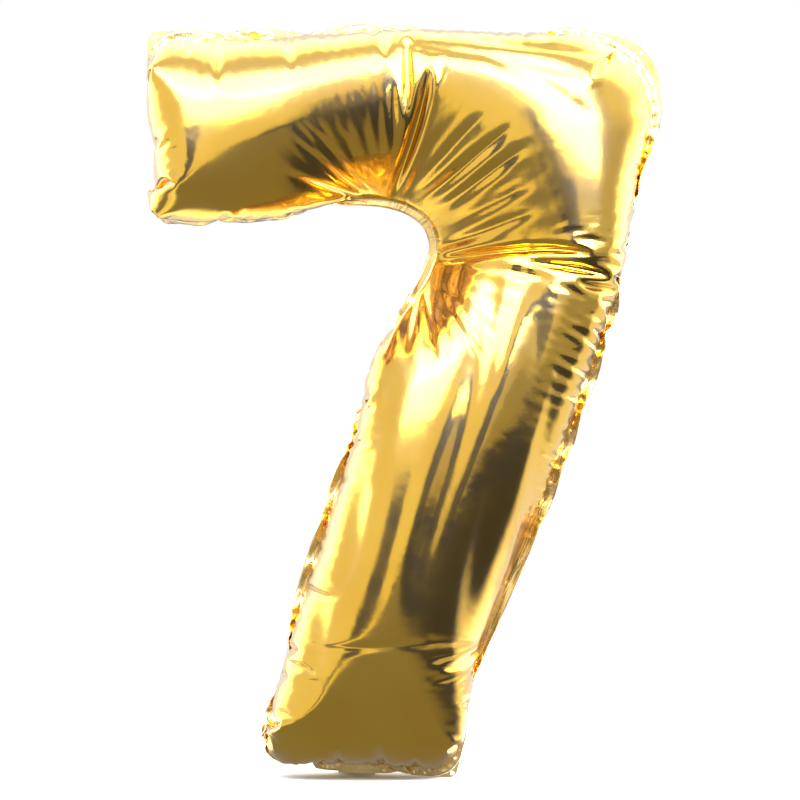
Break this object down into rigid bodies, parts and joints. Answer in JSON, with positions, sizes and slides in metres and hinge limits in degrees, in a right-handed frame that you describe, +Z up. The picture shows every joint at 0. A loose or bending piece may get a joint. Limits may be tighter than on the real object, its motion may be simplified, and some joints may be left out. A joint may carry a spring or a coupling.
{
  "type": "foil number balloon",
  "caption": "Inflated gold foil balloon in the shape of the digit seven, with a welded flange, punched hanging tabs, a flat self-sealing valve and a fold-away filling neck.",
  "frame": {"origin": "middle of the lowest edge, on the plane of the weld between the two sheets: the bottom centre of the box round the inflated balloon", "axes": "+Z up the digit, +X to the right as the digit is read, +Y to the back; the reading side faces -Y"},
  "size_m": [0.588, 0.24, 0.8602],
  "materials": {
    "gold_foil": "mirror-bright gold metallised film",
    "sealant": "clear heat-fused sealing layer over foil",
    "valve_film": "clear polyethylene film",
    "release_coat": "heat-resistant printed coat"
  },
  "bodies": {
    "balloon": {"front_panel": "gold_foil", "back_panel": "gold_foil", "seam_weld": "sealant", "top_left_tab": "gold_foil", "top_right_tab": "gold_foil", "foot_tab": "gold_foil", "valve_front_film": "valve_film", "valve_back_film": "valve_film", "valve_release_coat": "release_coat", "valve_side_welds": "valve_film"},
    "neck": {"neck_front_film": "gold_foil", "neck_back_film": "gold_foil", "neck_side_welds": "sealant", "neck_valve_front_film": "valve_film", "neck_valve_back_film": "valve_film", "neck_valve_side_welds": "valve_film"}
  },
  "joints": [
    {"name": "neck_fold", "type": "hinge", "parent": "balloon", "child": "neck", "pos_m": [-0.05466, 0, 0.00456], "axis": [-0.9983, 0, 0.0589], "range_deg": [-20, 180]}
  ]
}
